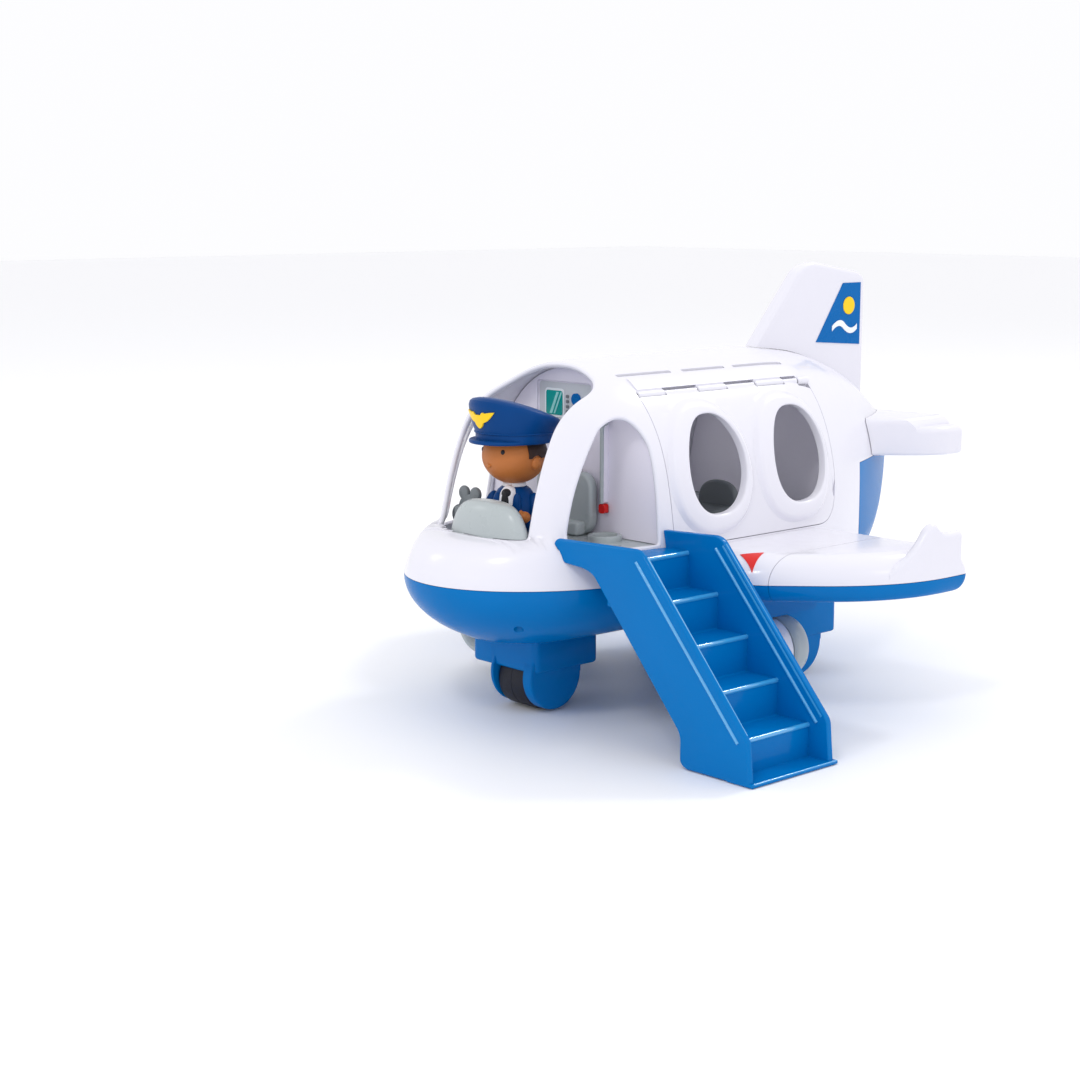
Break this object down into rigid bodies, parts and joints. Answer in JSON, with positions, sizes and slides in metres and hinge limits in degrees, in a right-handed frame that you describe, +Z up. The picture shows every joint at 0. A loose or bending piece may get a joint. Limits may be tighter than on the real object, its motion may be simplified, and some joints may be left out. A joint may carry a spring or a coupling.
{
  "type": "toy airplane",
  "caption": "Chunky toy airliner with open windscreen and doors, hinged window panels, rolling wheels, engine pods, a pilot figure and docked boarding stairs.",
  "frame": {"origin": "on the ground under the middle of the toy, stairs included", "axes": "+Y runs from the nose to the tail, +X to the port side with the stairs, +Z up"},
  "size_m": [0.2922, 0.3056, 0.1936],
  "materials": {
    "blue_gloss": "glossy injection-moulded blue",
    "white_gloss": "glossy injection-moulded white",
    "light_grey": "satin light grey",
    "dark_grey": "satin dark grey",
    "black_tyre": "matt soft black",
    "navy": "matt navy",
    "skin": "matt brown",
    "yellow": "printed yellow",
    "red": "glossy red",
    "teal": "printed teal",
    "decal_blue": "printed blue",
    "steel": "plain bright pin"
  },
  "bodies": {
    "airframe": {"lower_hull": "blue_gloss", "port_wing_tip_lower": "blue_gloss", "starboard_wing_tip_lower": "blue_gloss", "upper_shell": "white_gloss", "tail_fin": "white_gloss", "port_wing_tip_upper": "white_gloss", "starboard_wing_tip_upper": "white_gloss", "port_engine_body": "white_gloss", "starboard_engine_body": "white_gloss", "port_stabilizer": "white_gloss", "starboard_stabilizer": "white_gloss", "bulkhead": "white_gloss", "rear_bulkhead": "white_gloss", "port_fin_wave": "white_gloss", "starboard_fin_wave": "white_gloss", "port_engine_intake": "light_grey", "starboard_engine_intake": "light_grey", "port_engine_exhaust": "light_grey", "starboard_engine_exhaust": "light_grey", "cabin_floor": "light_grey", "cockpit_floor": "light_grey", "dashboard": "light_grey", "pilot_seat": "light_grey", "yoke_column": "dark_grey", "port_passenger_seat": "dark_grey", "starboard_passenger_seat": "dark_grey", "wall_lever_clip": "dark_grey", "port_fin_sun": "yellow", "starboard_fin_sun": "yellow", "wall_lever_grip": "red", "instrument_screen": "teal", "instrument_dial": "decal_blue", "port_fin_decal": "decal_blue", "starboard_fin_decal": "decal_blue", "port_hinge_pin": "steel", "starboard_hinge_pin": "steel", "nose_axle": "steel", "port_main_axle": "steel", "starboard_main_axle": "steel"},
    "port_panel": {"port_window_panel": "white_gloss"},
    "starboard_panel": {"starboard_window_panel": "white_gloss"},
    "nose_wheel": {"nose_tyre": "black_tyre", "nose_wheel_hub": "light_grey"},
    "port_main_wheel": {"port_main_tyre": "black_tyre", "port_main_wheel_hub": "light_grey"},
    "starboard_main_wheel": {"starboard_main_tyre": "black_tyre", "starboard_main_wheel_hub": "light_grey"},
    "yoke": {"control_yoke": "dark_grey"},
    "pilot": {"pilot_body": "navy", "pilot_head": "skin", "pilot_cap": "navy"},
    "stairs": {"boarding_stairs": "blue_gloss"}
  },
  "joints": [
    {"name": "nose_wheel_spin", "type": "hinge", "parent": "airframe", "child": "nose_wheel", "pos_m": [-0.00675, -0.09325, 0.0129], "axis": [1, 0, 0], "continuous": true},
    {"name": "port_main_wheel_spin", "type": "hinge", "parent": "airframe", "child": "port_main_wheel", "pos_m": [0.02425, 0.03675, 0.0129], "axis": [1, 0, 0], "continuous": true},
    {"name": "starboard_main_wheel_spin", "type": "hinge", "parent": "airframe", "child": "starboard_main_wheel", "pos_m": [-0.03775, 0.03675, 0.0129], "axis": [1, 0, 0], "continuous": true},
    {"name": "port_panel_hinge", "type": "hinge", "parent": "airframe", "child": "port_panel", "pos_m": [0.02775, -0.00725, 0.1398], "axis": [0, -1, 0], "range_deg": [0, 75]},
    {"name": "starboard_panel_hinge", "type": "hinge", "parent": "airframe", "child": "starboard_panel", "pos_m": [-0.04125, -0.00725, 0.1398], "axis": [0, 1, 0], "range_deg": [0, 75]},
    {"name": "yoke_turn", "type": "hinge", "parent": "airframe", "child": "yoke", "pos_m": [-0.02525, -0.11485, 0.0886], "axis": [0, 1, 0], "range_deg": [-20, 20]},
    {"name": "pilot_lift_out", "type": "slide", "parent": "airframe", "child": "pilot", "axis": [0, 0, 1], "range_m": [0, 0.08]},
    {"name": "stairs_pull_away", "type": "slide", "parent": "airframe", "child": "stairs", "axis": [1, 0, 0], "range_m": [0, 0.1]}
  ]
}
